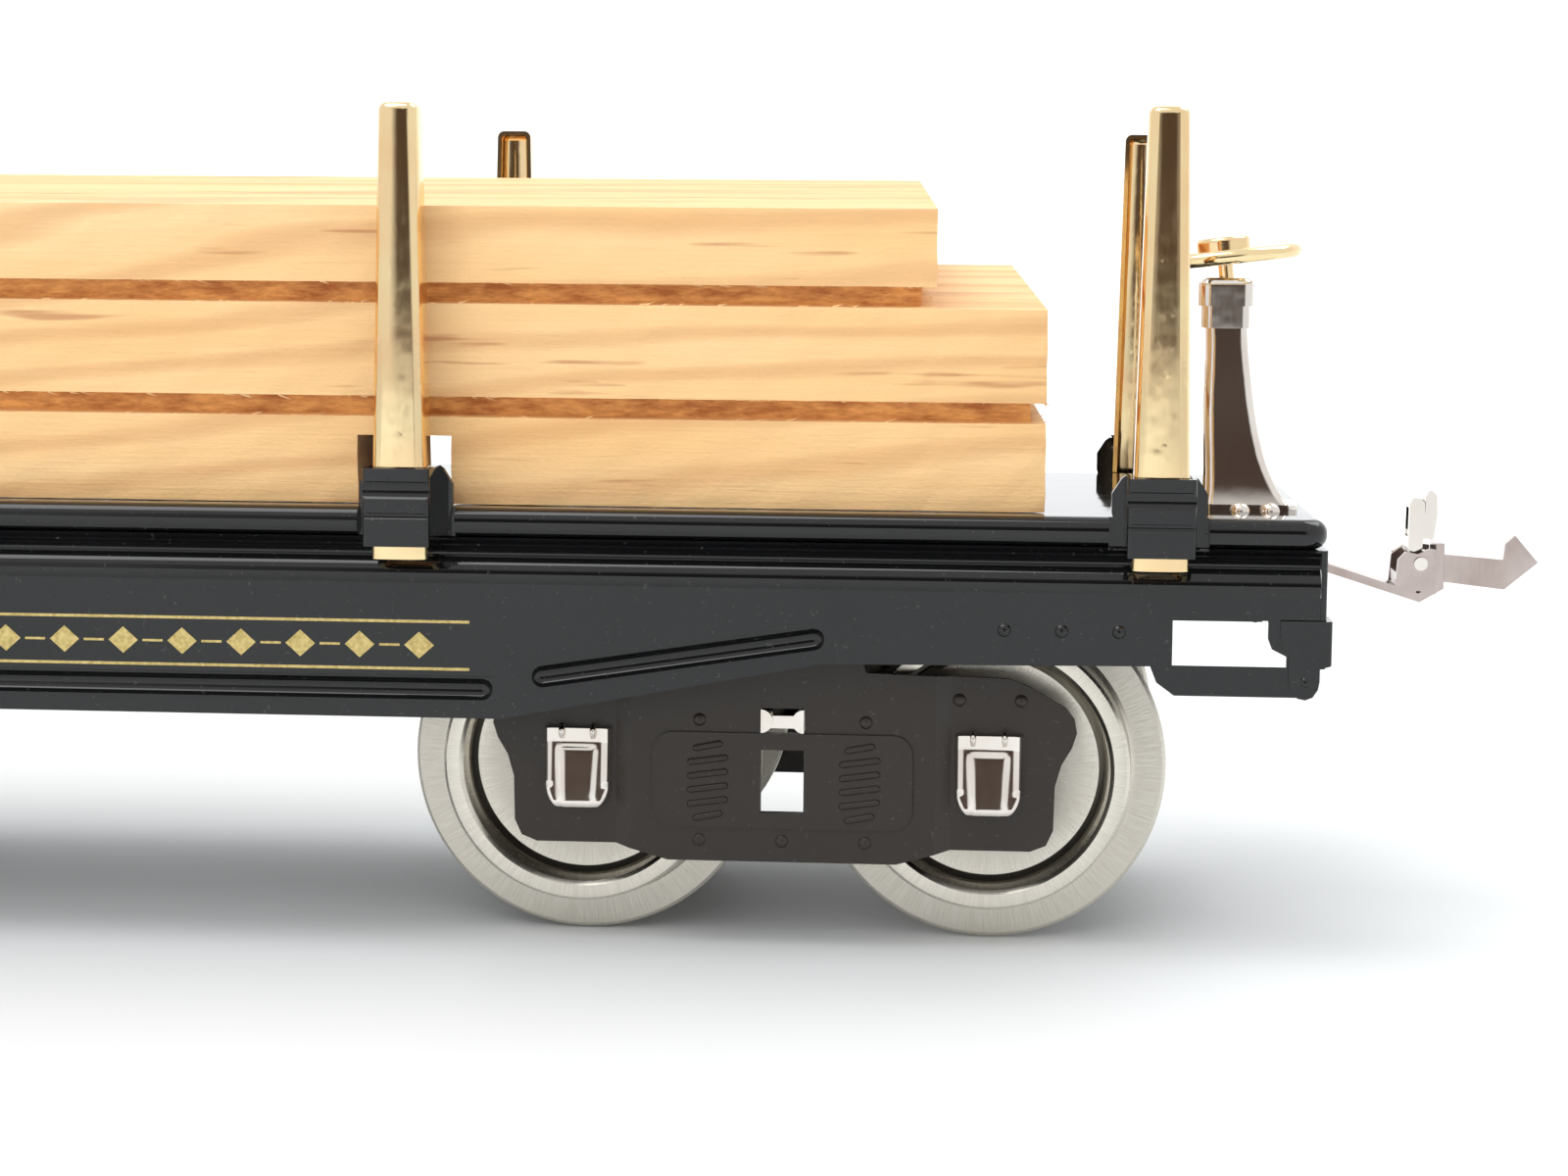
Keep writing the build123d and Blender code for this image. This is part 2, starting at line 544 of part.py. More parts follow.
def coupler_bracket():
    """Cross strip under the floor, inside the end, that carries the coupler's pivot."""
    x0, x1 = COUPLER_PIVOT_X - 5, COUPLER_PIVOT_X + 5
    low = COUPLER_ARM_Z + 0.75
    strip = block(x0, x1, -MEMBER_HALF, MEMBER_HALF, low, low + 1.0)
    for side in (-1, 1):
        ends = sorted((side * MEMBER_HALF, side * (MEMBER_HALF - 1.0)))
        strip += block(x0, x1, *ends, low, DECK_TOP - DECK_SHEET)
    strip -= rod((COUPLER_PIVOT_X, 0, 40), (COUPLER_PIVOT_X, 0, 55), COUPLER_PIN_R)
    return solid_of(strip)


def coupler_pivot():
    """Headed pin through the bracket and the eye of the drawbar."""
    low = COUPLER_ARM_Z + 0.75
    pin = rod((COUPLER_PIVOT_X, 0, COUPLER_ARM_Z - 2.0), (COUPLER_PIVOT_X, 0, low + 1.8), COUPLER_PIN_R)
    pin += rod((COUPLER_PIVOT_X, 0, COUPLER_ARM_Z - 2.0), (COUPLER_PIVOT_X, 0, COUPLER_ARM_Z - 0.75), 3.0)
    pin += rod((COUPLER_PIVOT_X, 0, low + 1.0), (COUPLER_PIVOT_X, 0, low + 1.8), 2.6)
    return solid_of(pin)


# ---------------------------------------------------------------- brake
def brake_axis(distance):
    """A point on the brake stem's axis, at a distance up from the cap's top."""
    tilt = math.radians(BRAKE_TILT)
    cap_top = (BRAKE_CAP_X, BRAKE_Y, 85.8)
    return (cap_top[0] - distance * math.sin(tilt), cap_top[1], cap_top[2] + distance * math.cos(tilt))


def brake_stand():
    """Formed sheet column: flared base, waisted shaft and a capped top with the stem's bore."""
    levels = ((DECK_TOP, BRAKE_FOOT_X, 11.6, 10.0), (58.6, 149.2, 9.4, 8.8), (62.5, 148.3, 7.6, 7.6),
              (70.0, 147.4, 6.2, 6.6), (79.6, 146.9, 5.2, 5.8))
    sections = [Pos(x, BRAKE_Y, z) * RectangleRounded(w, d, 1.1) for z, x, w, d in levels]
    column = loft(sections)
    foot = Pos(BRAKE_FOOT_X, BRAKE_Y, DECK_TOP) * extrude(RectangleRounded(12.4, 10.8, 1.4), amount=0.7)
    cap = Pos(BRAKE_CAP_X, BRAKE_Y, 79.4) * extrude(RectangleRounded(6.0, 6.4, 1.2), amount=3.0)
    crown = Pos(BRAKE_CAP_X, BRAKE_Y, 82.2) * extrude(RectangleRounded(6.8, 7.0, 1.4), amount=3.6)
    crown = fillet(crown.faces().sort_by(Axis.Z)[-1].edges(), 1.1)
    bore = rod(brake_axis(-9.0), brake_axis(3.0), 0.95 + RUNNING_CLEARANCE)
    return solid_of(column + foot + cap + crown - bore)


def brake_screws():
    """Two small screws that hold the stand's foot to the floor."""
    screws = []
    for dx, dy in ((-1.2, -6.9), (2.6, -6.9)):
        screws.append(solid_of(Pos(BRAKE_FOOT_X + dx, BRAKE_Y + dy, DECK_TOP) * rivet_head(1.2, 1.1)))
    return screws


def brake_stem():
    """Stem that turns in the stand's cap."""
    return solid_of(rod(brake_axis(-8.0), brake_axis(3.4), 0.95))


def brake_wheel():
    """Spoked hand wheel with a raised hub, tilted with its stem."""
    along = Vector(*brake_axis(1)) - Vector(*brake_axis(0))
    base = Plane(Vector(*brake_axis(1.7)), x_dir=(0, 1, 0), z_dir=along)
    rim = Pos(0, 0, 0.9) * Torus(BRAKE_WHEEL_R - 0.9, 0.9)
    hub = extrude(Circle(3.2), amount=1.6) + Pos(0, 0, 1.6) * extrude(Circle(3.4), amount=1.9)
    hub = fillet(hub.faces().sort_by(Axis.Z)[-1].edges(), 0.6)
    wheel_shape = rim + hub
    for spoke in range(5):
        bar = Rot(0, 0, 72 * spoke) * block(2.5, BRAKE_WHEEL_R - 1.0, -0.8, 0.8, 0.3, 1.4)
        wheel_shape += bar
    wheel_shape -= Pos(0, 0, -1) * extrude(Circle(0.95), amount=2.7)
    wheel_shape -= Pos(0, 0, 3.1) * extrude(Circle(2.2), amount=2)
    return solid_of(base * wheel_shape)


# ---------------------------------------------------------------- load
def lumber_load():
    """One sawn block made to look like stacked boards: kerfs, stepped ends, stake grooves."""
    tops = TIER_TOPS
    half, top_half = LOAD_HALF_LENGTH, LOAD_TOP_HALF_LENGTH
    width = LOAD_WIDTH
    load = block(-half, half, 0, width, 0, tops[1] - KERF_HEIGHT / 2 + 1.2)
    load += block(-top_half, top_half, 0, width, 0, tops[2])
    for level, reach in ((tops[0], half), (tops[1], top_half)):
        core = block(-reach + KERF_DEPTH * 0.7, reach - KERF_DEPTH * 0.7, KERF_DEPTH, width - KERF_DEPTH,
                     level, level + KERF_HEIGHT)
        load -= block(-reach - 5, reach + 5, -5, width + 5, level, level + KERF_HEIGHT) - core
    for x in (-POCKET_X[0] - 1.0, POCKET_X[0] - 1.0):
        load -= block(x - GROOVE_WIDTH / 2, x + GROOVE_WIDTH / 2, -5, width + 5, -5, GROOVE_HEIGHT)
    return solid_of(load)


def placed_load():
    """The load sheared by its skew saw cuts, leaning with its far side on the pockets."""
    skew = math.tan(math.radians(LOAD_SKEW))
    straight = lumber_load()
    matrix = Matrix([[1, -skew, 0, 0], [0, 1, 0, 0], [0, 0, 1, 0], [0, 0, 0, 1]])
    sheared = straight.transform_geometry(matrix)
    return Pos(0, LOAD_NEAR_FACE, DECK_TOP + 0.05) * Rot(LOAD_LEAN, 0, 0) * solid_of(sheared)


# ---------------------------------------------------------------- writing the nodes
os.makedirs("parts", exist_ok=True)

save("deck_plate", deck_plate())
sill = side_sill()
save("side_sill_right", sill)
save("side_sill_left", turned(sill))
save("sill_rivets", *sill_rivets())

pockets = {"rear_outer": -POCKET_X[1], "rear_inner": -POCKET_X[0], "front_inner": POCKET_X[0],
           "front_outer": POCKET_X[1]}
right_pockets = [stake_pocket(x) for x in pockets.values()]
save("stake_pockets_right", *right_pockets)
save("stake_pockets_left", *[across(pocket) for pocket in right_pockets])
for place, x in pockets.items():
    one = stake(x)
    save(f"stake_right_{place}", one)
    save(f"stake_left_{place}", across(one))

strap = corner_strap()
save("corner_straps", strap, across(strap), turned(strap), turned(across(strap)))

frame_right = side_frame()
bolster = truck_bolster()
for end, place in ((1, "front"), (-1, "rear")):
    def put(shape):
        return shape if end == 1 else turned(shape)
    save(f"end_plate_{place}", put(end_plate()))
    save(f"body_bolster_{place}", put(body_bolster()))
    save(f"truck_bolster_{place}", put(bolster))
    frame_here = Pos(end * TRUCK_X, 0, 0) * frame_right
    save(f"side_frame_right_{place}", frame_here)
    save(f"side_frame_left_{place}", across(frame_here))
    boxes = [journal_box(TRUCK_X - WHEELBASE / 2), journal_box(TRUCK_X + WHEELBASE / 2)]
    boxes += [across(box) for box in boxes]
    save(f"journal_boxes_{place}", *[put(box) for box in boxes])
    for side, offset_x in (("inner", -WHEELBASE / 2), ("outer", WHEELBASE / 2)):
        x = end * (TRUCK_X + offset_x)
        near_wheel = wheel(x)
        save(f"axle_{place}_{side}", axle(x))
        save(f"wheel_{place}_{side}_right", near_wheel)
        save(f"wheel_{place}_{side}_left", across(near_wheel))
    save(f"coupler_bracket_{place}", put(coupler_bracket()))
    save(f"coupler_arm_{place}", put(coupler_arm()))
    save(f"coupler_head_{place}", put(coupler_head()))
    save(f"coupler_hook_{place}", put(coupler_hook()))
    save(f"coupler_latch_{place}", put(coupler_latch()))
    save(f"latch_pin_{place}", put(latch_pin()))
    save(f"latch_spring_{place}", put(latch_spring()))

save("kingpins", kingpin(), turned(kingpin()))
save("coupler_pivots", coupler_pivot(), turned(coupler_pivot()))
save("brake_stand", brake_stand())
save("brake_screws", *brake_screws())
save("brake_stem", brake_stem())
save("brake_wheel", brake_wheel())
save("lumber_load", placed_load())
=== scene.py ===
import json
import math
import random

import bmesh
import bpy
from mathutils import Matrix, Vector


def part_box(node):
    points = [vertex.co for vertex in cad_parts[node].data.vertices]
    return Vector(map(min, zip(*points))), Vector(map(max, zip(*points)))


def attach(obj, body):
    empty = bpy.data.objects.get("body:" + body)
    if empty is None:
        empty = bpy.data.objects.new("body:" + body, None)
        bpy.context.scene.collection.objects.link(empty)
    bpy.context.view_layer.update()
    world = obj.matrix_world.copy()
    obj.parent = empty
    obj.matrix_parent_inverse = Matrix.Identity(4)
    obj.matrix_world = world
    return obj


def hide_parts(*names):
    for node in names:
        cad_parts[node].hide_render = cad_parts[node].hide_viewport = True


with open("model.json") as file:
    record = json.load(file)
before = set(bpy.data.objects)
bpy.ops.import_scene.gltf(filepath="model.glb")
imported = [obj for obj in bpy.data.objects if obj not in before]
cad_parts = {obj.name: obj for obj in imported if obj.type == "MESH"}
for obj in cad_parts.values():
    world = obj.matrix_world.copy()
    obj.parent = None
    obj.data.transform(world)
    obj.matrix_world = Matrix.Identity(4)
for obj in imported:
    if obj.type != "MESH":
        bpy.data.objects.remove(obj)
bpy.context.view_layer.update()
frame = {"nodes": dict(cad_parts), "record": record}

random.seed(7)
MM = 0.001
NODES = frame["nodes"]
TRUCK_X = 91.2
HALF_WHEELBASE = 26.2


# ---------------------------------------------------------------- small helpers
def link(obj):
    """Put an object in the scene."""
    bpy.context.scene.collection.objects.link(obj)
    return obj


def material(name):
    """A new node material; returns it with its tree and its principled shader."""
    mat = bpy.data.materials.new(name)
    mat.use_nodes = True
    tree = mat.node_tree
    return mat, tree, tree.nodes["Principled BSDF"]


def add(tree, kind, inputs=None, **settings):
    """A node of this kind with its settings, and its sockets set or linked."""
    node = tree.nodes.new(kind)
    for key, value in settings.items():
        setattr(node, key, value)
    for key, value in (inputs or {}).items():
        if isinstance(value, bpy.types.NodeSocket):
            tree.links.new(value, node.inputs[key])
        else:
            node.inputs[key].default_value = value
    return node


def coordinates(tree, scale=(1, 1, 1), shift=(0, 0, 0)):
    """Object coordinates, moved and then stretched."""
    place = add(tree, "ShaderNodeTexCoord").outputs["Object"]
    moved = add(tree, "ShaderNodeVectorMath", {0: place, 1: shift}, operation="ADD").outputs[0]
    return add(tree, "ShaderNodeVectorMath", {0: moved, 1: scale}, operation="MULTIPLY").outputs[0]


def noise(tree, vector, scale, detail=3.0, roughness=0.5):
    """A noise texture's value."""
    inputs = {"Vector": vector, "Scale": scale, "Detail": detail, "Roughness": roughness}
    return add(tree, "ShaderNodeTexNoise", inputs).outputs["Fac"]


def ramp(tree, value, stops):
    """A colour ramp: stops are (position, colour)."""
    node = add(tree, "ShaderNodeValToRGB", {"Fac": value})
    elements = node.color_ramp.elements
    for position, colour in stops[2:]:
        elements.new(position)
    for element, (position, colour) in zip(elements, sorted(stops)):
        element.position = position
        element.color = (*colour, 1)
    return node.outputs["Color"]


def between(tree, value, low, high):
    """A 0-to-1 value mapped to a range."""
    inputs = {"Value": value, "To Min": low, "To Max": high}
    return add(tree, "ShaderNodeMapRange", inputs).outputs["Result"]


def rise(tree, value, start, end, top=1.0):
    """Zero up to start, growing to top at end, and level beyond."""
    inputs = {"Value": value, "From Min": start, "From Max": end, "To Max": top}
    return add(tree, "ShaderNodeMapRange", inputs).outputs["Result"]


def maths(tree, operation, a, b=0.0):
    """One sum on one or two values."""
    return add(tree, "ShaderNodeMath", {0: a, 1: b}, operation=operation).outputs[0]


def mix(tree, factor, a, b, blend="MIX"):
    """Two colours mixed by a factor."""
    node = add(tree, "ShaderNodeMix", data_type="RGBA", blend_type=blend)
    for socket, value in ((node.inputs[0], factor), (node.inputs[6], a), (node.inputs[7], b)):
        if isinstance(value, bpy.types.NodeSocket):
            tree.links.new(value, socket)
        else:
            socket.default_value = value if isinstance(value, float) else (*value, 1)
    return node.outputs[2]


def bump(tree, shader, height, distance, strength=1.0):
    """Link a height to the shader's normal; the distance is in metres."""
    inputs = {"Height": height, "Distance": distance, "Strength": strength}
    node = add(tree, "ShaderNodeBump", inputs)
    tree.links.new(node.outputs["Normal"], shader.inputs["Normal"])


# ---------------------------------------------------------------- materials
def enamel(name, colour, roughness, coat, ripple):
    """Sprayed enamel on tinplate: faint flow ripple, dust specks and small gloss changes."""
    mat, tree, shader = material(name)
    place = coordinates(tree)
    cloud = noise(tree, place, 60.0, 4.0)
    speck = ramp(tree, noise(tree, place, 1500.0, 1.0), [(0.70, (0, 0, 0)), (0.76, (1, 1, 1))])
    light = tuple(min(1.0, c * 1.5 + 0.004) for c in colour)
    base = mix(tree, cloud, colour, light)
    dust = mix(tree, maths(tree, "MULTIPLY", speck, 0.08), base, (0.3, 0.3, 0.29))
    tree.links.new(dust, shader.inputs["Base Color"])
    gloss = between(tree, cloud, roughness * 0.7, roughness * 1.4)
    tree.links.new(gloss, shader.inputs["Roughness"])
    shader.inputs["Coat Weight"].default_value = coat
    shader.inputs["Coat Roughness"].default_value = 0.03
    height = maths(tree, "ADD", noise(tree, place, 90.0, 2.0), maths(tree, "MULTIPLY", speck, 0.15))
    bump(tree, shader, height, ripple)
    return mat


def plated(name, colour, tarnish, roughness, ripple):
    """Polished plating: slight waviness, fine polishing lines and warm tarnish in places."""
    mat, tree, shader = material(name)
    place = coordinates(tree)
    cloud = noise(tree, place, 110.0, 4.0)
    lines = noise(tree, coordinates(tree, scale=(1, 1, 0.08)), 2600.0, 2.0)
    tint = ramp(tree, cloud, [(0.35, colour), (0.75, tarnish)])
    tree.links.new(tint, shader.inputs["Base Color"])
    shader.inputs["Metallic"].default_value = 1.0
    worn = maths(tree, "ADD", maths(tree, "MULTIPLY", cloud, 0.6), maths(tree, "MULTIPLY", lines, 0.4))
    tree.links.new(between(tree, worn, roughness * 0.5, roughness * 1.6), shader.inputs["Roughness"])
    height = maths(tree, "ADD", noise(tree, place, 160.0, 2.0), maths(tree, "MULTIPLY", lines, 0.05))
    bump(tree, shader, height, ripple)
    return mat


TREAD_LOW = 0.0152
TREAD_HIGH = 0.0184
TREAD_EDGE = 0.0004


def wheel_metal(name, centre_x, centre_z):
    """Nickel-plated wheel: rays of fine brushing about the axle, polished on the tread's rim."""
    mat, tree, shader = material(name)
    place = add(tree, "ShaderNodeSeparateXYZ", {0: coordinates(tree, shift=(-centre_x, 0, -centre_z))})
    x, z = place.outputs[0], place.outputs[2]
    square = maths(tree, "ADD", maths(tree, "MULTIPLY", x, x), maths(tree, "MULTIPLY", z, z))
    radius = maths(tree, "SQRT", square)
    angle = maths(tree, "ARCTAN2", z, x)
    round_axle, outwards = maths(tree, "MULTIPLY", angle, 34.0), maths(tree, "MULTIPLY", radius, 90.0)
    polar = add(tree, "ShaderNodeCombineXYZ", {0: round_axle, 1: outwards})
    rays = noise(tree, polar.outputs[0], 3.0, 5.0, 0.65)
    cloud = noise(tree, coordinates(tree), 70.0, 3.0)
    tint = ramp(tree, rays, [(0.3, (0.60, 0.57, 0.50)), (0.7, (0.80, 0.77, 0.70))])
    tone = mix(tree, maths(tree, "MULTIPLY", cloud, 0.3), tint, (0.62, 0.56, 0.46))
    tree.links.new(tone, shader.inputs["Base Color"])
    shader.inputs["Metallic"].default_value = 1.0
    rim = ramp(tree, radius, [(TREAD_LOW, (1, 1, 1)), (TREAD_LOW + TREAD_EDGE, (0, 0, 0)),
                              (TREAD_HIGH, (0, 0, 0)), (TREAD_HIGH + TREAD_EDGE, (1, 1, 1))])
    satin = between(tree, rim, 0.10, 0.34)
    gloss = maths(tree, "ADD", satin, maths(tree, "MULTIPLY", rays, 0.08))
    tree.links.new(gloss, shader.inputs["Roughness"])
    bump(tree, shader, maths(tree, "MULTIPLY", rays, rim), 0.00004)
    return mat


def pine():
    """Bare sawn pine: growth rings about a far-off heart, resin flecks and saw fuzz."""
    mat, tree, shader = material("sawn_pine")
    warp = noise(tree, coordinates(tree, scale=(0.18, 1, 1)), 26.0, 3.0)
    parts = add(tree, "ShaderNodeSeparateXYZ", {0: coordinates(tree, shift=(0, 0.030, -0.012))})
    x, y, z = parts.outputs
    slope = maths(tree, "MULTIPLY", x, -0.085)
    across = maths(tree, "ADD", z, slope)
    square = maths(tree, "ADD", maths(tree, "MULTIPLY", across, across), maths(tree, "MULTIPLY", y, y))
    ring = maths(tree, "ADD", maths(tree, "SQRT", square), maths(tree, "MULTIPLY", warp, 0.030))
    wave = maths(tree, "SINE", maths(tree, "MULTIPLY", ring, 950.0))
    late = ramp(tree, between(tree, wave, 0.5, 1.0), [(0.55, (0, 0, 0)), (0.98, (1, 1, 1))])
    fibre = noise(tree, coordinates(tree, scale=(0.035, 1, 1)), 1700.0, 4.0, 0.6)
    broad = noise(tree, coordinates(tree, scale=(0.12, 1, 1)), 90.0, 3.0)
    base = ramp(tree, broad, [(0.3, (0.83, 0.51, 0.215)), (0.7, (0.90, 0.62, 0.32))])
    ringed = mix(tree, maths(tree, "MULTIPLY", late, 0.42), base, (0.58, 0.285, 0.11))
    fibred = mix(tree, maths(tree, "MULTIPLY", fibre, 0.22), ringed, (0.66, 0.36, 0.15))
    fleck_place = coordinates(tree, scale=(0.06, 1, 1))
    fleck = ramp(tree, noise(tree, fleck_place, 620.0, 2.0), [(0.64, (0, 0, 0)), (0.72, (1, 1, 1))])
    flecked = mix(tree, maths(tree, "MULTIPLY", fleck, 0.60), fibred, (0.40, 0.14, 0.05))
    # The faces at the back of the saw kerfs get a darker, redder colour: painted shade in these narrow
    # slots, laid over a rough sawn grain.
    cut = add(tree, "ShaderNodeAttribute", attribute_name="kerf_shade_mask").outputs["Fac"]
    rough_cut = noise(tree, coordinates(tree, scale=(0.25, 1, 1)), 700.0, 4.0, 0.7)
    kerf_shade = ramp(tree, rough_cut, [(0.35, (0.42, 0.135, 0.025)), (0.65, (0.84, 0.42, 0.12))])
    tree.links.new(mix(tree, cut, flecked, kerf_shade), shader.inputs["Base Color"])
    tree.links.new(between(tree, fibre, 0.50, 0.72), shader.inputs["Roughness"])
    fuzz = noise(tree, coordinates(tree, scale=(0.5, 1, 1)), 2400.0, 3.0)
    height = maths(tree, "ADD", fibre, maths(tree, "MULTIPLY", fuzz, 0.7))
    bump(tree, shader, height, 0.00010)
    return mat


def gold_leaf():
    """Stamped gold ink: matt metallic flakes."""
    mat, tree, shader = material("gold_ink")
    grain = noise(tree, coordinates(tree), 1800.0, 2.0)
    tint = ramp(tree, grain, [(0.3, (0.42, 0.32, 0.10)), (0.7, (0.66, 0.53, 0.22))])
    tree.links.new(tint, shader.inputs["Base Color"])
    shader.inputs["Metallic"].default_value = 0.35
    tree.links.new(between(tree, grain, 0.4, 0.6), shader.inputs["Roughness"])
    bump(tree, shader, grain, 0.00002)
    return mat


def paper(name, colour):
    """Matt studio paper, with a glow that grows behind the car to a white background."""
    mat, tree, shader = material(name)
    grain = noise(tree, coordinates(tree), 9.0, 3.0)
    tone = mix(tree, grain, colour, tuple(c * 0.985 for c in colour))
    tree.links.new(tone, shader.inputs["Base Color"])
    shader.inputs["Roughness"].default_value = 0.55
    shader.inputs["Specular IOR Level"].default_value = 0.25
    place = add(tree, "ShaderNodeSeparateXYZ", {0: coordinates(tree)})
    glow = rise(tree, place.outputs[1], 0.15, 1.1, 0.45)
    tree.links.new(glow, shader.inputs["Emission Strength"])
    shader.inputs["Emission Color"].default_value = (1.0, 1.0, 1.0, 1.0)
    return mat


BLACK = enamel("black_enamel", (0.0022, 0.0024, 0.0028), 0.045, 0.0, 0.00003)
TRUCK_BLACK = enamel("truck_enamel", (0.0120, 0.0080, 0.0050), 0.36, 0.0, 0.00005)
BRASS = plated("polished_brass", (0.87, 0.70, 0.40), (0.84, 0.58, 0.32), 0.09, 0.00004)
NICKEL = plated("nickel_plate", (0.80, 0.76, 0.71), (0.70, 0.63, 0.57), 0.08, 0.00004)
COUPLER_NICKEL = plated("coupler_nickel", (0.58, 0.50, 0.47), (0.46, 0.36, 0.33), 0.20, 0.00006)
STEEL = plated("steel_axle", (0.50, 0.49, 0.47), (0.42, 0.40, 0.37), 0.30, 0.00003)
PINE = pine()
GOLD = gold_leaf()

BY_SLOT = {"black_enamel": BLACK, "truck_enamel": TRUCK_BLACK, "polished_brass": BRASS,
           "nickel_plate": NICKEL, "steel_axle": STEEL, "sawn_pine": PINE}


def finish_nodes():
    """Give every CAD node its material by the record's slot; each wheel's brushing is centred on its own
    axle.
    """
    for entry in frame["record"]["subparts"]:
        name, slot = entry["node"], entry["material_slot"]
        if slot == "wheel_nickel":
            low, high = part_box(name)
            centre = (low + high) / 2
            mat = wheel_metal(f"wheel_nickel_{name}", centre.x, centre.z)
        elif name.startswith(("coupler_arm", "coupler_head", "coupler_hook")):
            mat = COUPLER_NICKEL
        else:
            mat = BY_SLOT[slot]
        data = NODES[name].data
        data.materials.clear()
        data.materials.append(mat)


# ---------------------------------------------------------------- lumber
LOAD = dict(half=124.0, top_half=110.2, width=78.0, near=-36.6, floor=56.35,
            tops=(11.1, 25.5, 37.7), kerf=2.6, depth=2.6, lean=3.95, skew=3.6,
            groove=12.0, groove_height=8.7, groove_x=(-45.0, 43.0))
STEP_Z = LOAD["tops"][1] - LOAD["kerf"] / 2 + 1.2
END_INSET = LOAD["depth"] * 0.7
CELL = 2.4


def cuts(*places):
    """Sorted grid lines through these places, with long gaps divided."""
    lines = sorted(set(places))
    grid = [lines[0]]
    for a, b in zip(lines, lines[1:]):
        steps = max(1, round((b - a) / CELL))
        grid += [a + (b - a) * (i + 1) / steps for i in range(steps)]
    return grid


def is_wood(x, y, z):
    """Whether a point of the upright, unskewed block is wood."""
    low_top, mid_top = LOAD["tops"][:2]
    kerf, depth = LOAD["kerf"], LOAD["depth"]
    reach = LOAD["half"] if z < STEP_Z else LOAD["top_half"]
    inset = 0.0
    if low_top < z < low_top + kerf:
        inset = depth
    if mid_top < z < mid_top + kerf:
        inset = depth
        reach = LOAD["top_half"]
    if abs(x) > reach - (END_INSET if inset else 0.0):
        return False
    if y < inset or y > LOAD["width"] - inset:
        return False
    in_groove = any(abs(x - g) < LOAD["groove"] / 2 for g in LOAD["groove_x"])
    return not (in_groove and z < LOAD["groove_height"])


def placed(point):
    """A block point, skewed, leaned and set on the deck, in metres."""
    x, y, z = point
    lean = math.radians(LOAD["lean"])
    skewed = x - y * math.tan(math.radians(LOAD["skew"]))
    depth = LOAD["near"] + y * math.cos(lean) - z * math.sin(lean)
    height = LOAD["floor"] + y * math.sin(lean) + z * math.cos(lean)
    return Vector((skewed, depth, height)) * MM


def ragged(point):
    """Saw chatter and torn edges, always inwards so the wood keeps to its block."""
    x, y, z = point
    centre_y, centre_z = LOAD["width"] / 2, LOAD["tops"][2] / 2
    chatter = 0.05 + 0.05 * math.sin(x * 2.1 + z) + 0.06 * random.random()
    pull_y = chatter if y < centre_y else -chatter
    pull_x = -chatter if x > 0 else chatter
    return (x + pull_x, y + pull_y, z - 0.04 * random.random() * (1 if z > centre_z else -1))


def lumber():
    """The sawn block as one closed mesh of wood cells, with its kerfs and grooves."""
    low_top, mid_top, high_top = LOAD["tops"]
    kerf, depth, half, top_half = LOAD["kerf"], LOAD["depth"], LOAD["half"], LOAD["top_half"]
    ends = (half, half - END_INSET, top_half, top_half - END_INSET)
    edges_x = [s * v for s in (-1, 1) for v in ends]
    edges_x += [g + s * LOAD["groove"] / 2 for g in LOAD["groove_x"] for s in (-1, 1)]
    xs = cuts(*edges_x)
    ys = cuts(0.0, depth, LOAD["width"] - depth, LOAD["width"])
    zs = cuts(0.0, LOAD["groove_height"], low_top, low_top + kerf, STEP_Z, mid_top, mid_top + kerf,
              high_top)
    mids = [[(a + b) / 2 for a, b in zip(line, line[1:])] for line in (xs, ys, zs)]
    wood = {(i, j, k) for i, x in enumerate(mids[0]) for j, y in enumerate(mids[1])
            for k, z in enumerate(mids[2]) if is_wood(x, y, z)}
    mesh = bmesh.new()
    kerf_shade = mesh.faces.layers.float.new("kerf_shade_mask")
    corners = {}


    def corner(i, j, k):
        if (i, j, k) not in corners:
            corners[i, j, k] = mesh.verts.new(placed(ragged((xs[i], ys[j], zs[k]))))
        return corners[i, j, k]

    sides = {(1, 0, 0): ((1, 0, 0), (1, 1, 0), (1, 1, 1), (1, 0, 1)),
             (-1, 0, 0): ((0, 0, 0), (0, 0, 1), (0, 1, 1), (0, 1, 0)),
             (0, 1, 0): ((0, 1, 0), (0, 1, 1), (1, 1, 1), (1, 1, 0)),
             (0, -1, 0): ((0, 0, 0), (1, 0, 0), (1, 0, 1), (0, 0, 1)),
             (0, 0, 1): ((0, 0, 1), (1, 0, 1), (1, 1, 1), (0, 1, 1)),
             (0, 0, -1): ((0, 0, 0), (0, 1, 0), (1, 1, 0), (1, 0, 0))}
    for i, j, k in sorted(wood):
        for (di, dj, dk), loop in sides.items():
            if (i + di, j + dj, k + dk) not in wood:
                face = mesh.faces.new([corner(i + a, j + b, k + c) for a, b, c in loop])
                # Faces at the back of a kerf are marked here to take the pine's painted shade.
                level = mids[2][k]
                in_kerf = any(top < level < top + kerf for top in (low_top, mid_top))
                face[kerf_shade] = 1.0 if in_kerf else 0.0
    data = bpy.data.meshes.new("lumber")
    mesh.to_mesh(data)
    mesh.free()
    piece = link(bpy.data.objects.new("lumber", data))
    bevel = piece.modifiers.new("worn_edges", "BEVEL")
    bevel.width = 0.35 * MM
    bevel.segments = 2
    bevel.limit_method = "ANGLE"
    bevel.angle_limit = math.radians(50)
    data.materials.append(PINE)
    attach(piece, "load")
    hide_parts("lumber_load")
    return piece


